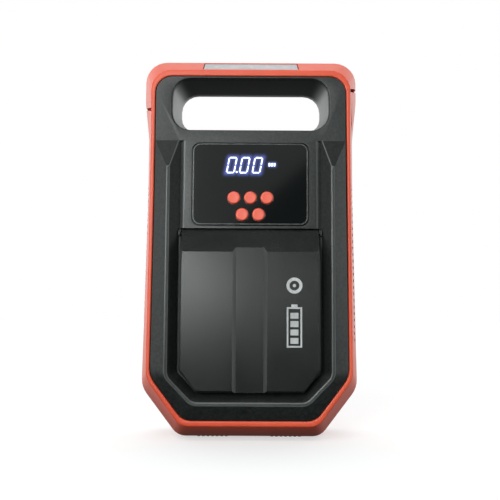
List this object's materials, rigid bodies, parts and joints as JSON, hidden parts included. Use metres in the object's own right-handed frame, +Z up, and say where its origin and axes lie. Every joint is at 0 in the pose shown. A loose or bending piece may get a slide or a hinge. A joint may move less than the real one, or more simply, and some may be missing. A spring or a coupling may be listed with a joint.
{
  "type": "jump starter pack",
  "caption": "Upright jump starter pack with a carrying slot, digital gauge, round keys, hinged hose bay lid, side socket flaps, built-in air pump and battery.",
  "frame": {"origin": "middle of the base's bounding box, on the surface the pack stands on", "axes": "+Z up, -Y out of the front face with the display, +X to the right as seen from the front"},
  "size_m": [0.1488, 0.074, 0.2617],
  "materials": {
    "orange_plastic": "fine satin moulded plastic",
    "black_plastic": "fine spark-textured moulded plastic",
    "liner_plastic": "smooth satin moulded plastic",
    "dark_plastic": "plain moulded plastic",
    "window": "polished smoked acrylic",
    "button_plastic": "satin moulded plastic",
    "lens": "frosted diffuser",
    "circuit_board": "solder mask",
    "cell_foil": "laminate pouch",
    "gear_plastic": "acetal",
    "steel": "plated",
    "alloy": "as cast",
    "brass": "turned",
    "foot_rubber": "moulded"
  },
  "bodies": {
    "housing": {"front_frame": "orange_plastic", "rear_shell": "orange_plastic", "front_cover": "black_plastic", "handle_liner": "liner_plastic", "hose_bay_tray": "dark_plastic", "lid_hinge_pin": "steel", "air_outlet": "brass", "display_window": "window", "display_module": "dark_plastic", "control_board": "circuit_board", "light_board": "circuit_board", "charging_board": "circuit_board", "battery_board": "circuit_board", "light_lens": "lens", "port_bezel": "dark_plastic", "jump_bezel": "dark_plastic", "jump_socket": "dark_plastic", "usb_socket_upper": "steel", "usb_socket_lower": "steel", "usb_c_socket": "steel", "battery_holder": "dark_plastic", "pump_motor": "steel", "cylinder": "alloy", "cylinder_head": "alloy", "pump_frame": "alloy", "battery_cell_1": "cell_foil", "battery_cell_2": "cell_foil", "battery_cell_3": "cell_foil", "battery_cell_4": "cell_foil", "screw_1": "steel", "screw_2": "steel", "screw_3": "steel", "screw_4": "steel", "screw_5": "steel", "screw_6": "steel", "base_foot_front_left": "foot_rubber", "base_foot_front_right": "foot_rubber", "base_foot_rear_left": "foot_rubber", "base_foot_rear_right": "foot_rubber"},
    "lid": {"hose_bay_lid": "black_plastic"},
    "left_flap": {"port_cover": "orange_plastic"},
    "right_flap": {"jump_socket_cover": "orange_plastic"},
    "crank": {"crank_gear": "gear_plastic"},
    "rotor": {"motor_pinion": "steel", "motor_fan": "dark_plastic"},
    "piston_set": {"connecting_rod": "alloy", "piston": "alloy"},
    "key_minus": {"button_minus": "button_plastic"},
    "key_light": {"button_light": "button_plastic"},
    "key_plus": {"button_plus": "button_plastic"},
    "key_unit": {"button_unit": "button_plastic"},
    "key_power": {"button_power": "button_plastic"}
  },
  "joints": [
    {"name": "lid_hinge", "type": "hinge", "parent": "housing", "child": "lid", "pos_m": [0, -0.0265, 0.137], "axis": [-1, 0, 0], "range_deg": [0, 105]},
    {"name": "port_cover_hinge", "type": "hinge", "parent": "housing", "child": "left_flap", "pos_m": [-0.07384, 0.022, 0.172], "axis": [0, 0, -1], "range_deg": [0, 100]},
    {"name": "jump_cover_hinge", "type": "hinge", "parent": "housing", "child": "right_flap", "pos_m": [0.0744, 0.022, 0.172], "axis": [0, 0, 1], "range_deg": [0, 100]},
    {"name": "crank_spin", "type": "hinge", "parent": "housing", "child": "crank", "pos_m": [0.049, 0.015, 0.067], "axis": [1, 0, 0], "continuous": true},
    {"name": "motor_spin", "type": "hinge", "parent": "housing", "child": "rotor", "pos_m": [0.049, 0.015, 0.047], "axis": [1, 0, 0], "continuous": true},
    {"name": "piston_slide", "type": "slide", "parent": "housing", "child": "piston_set", "axis": [0, 0, -1], "range_m": [0, 0.014]},
    {"name": "press_minus", "type": "slide", "parent": "housing", "child": "key_minus", "axis": [0, 1, 0], "range_m": [0, 0.0008], "stiffness_N_per_m": 1200},
    {"name": "press_light", "type": "slide", "parent": "housing", "child": "key_light", "axis": [0, 1, 0], "range_m": [0, 0.0008], "stiffness_N_per_m": 1200},
    {"name": "press_plus", "type": "slide", "parent": "housing", "child": "key_plus", "axis": [0, 1, 0], "range_m": [0, 0.0008], "stiffness_N_per_m": 1200},
    {"name": "press_unit", "type": "slide", "parent": "housing", "child": "key_unit", "axis": [0, 1, 0], "range_m": [0, 0.0008], "stiffness_N_per_m": 1200},
    {"name": "press_power", "type": "slide", "parent": "housing", "child": "key_power", "axis": [0, 1, 0], "range_m": [0, 0.0008], "stiffness_N_per_m": 1200}
  ],
  "couplings": [
    {"joint": "motor_spin", "follows": "crank_spin", "ratio": -4}
  ]
}
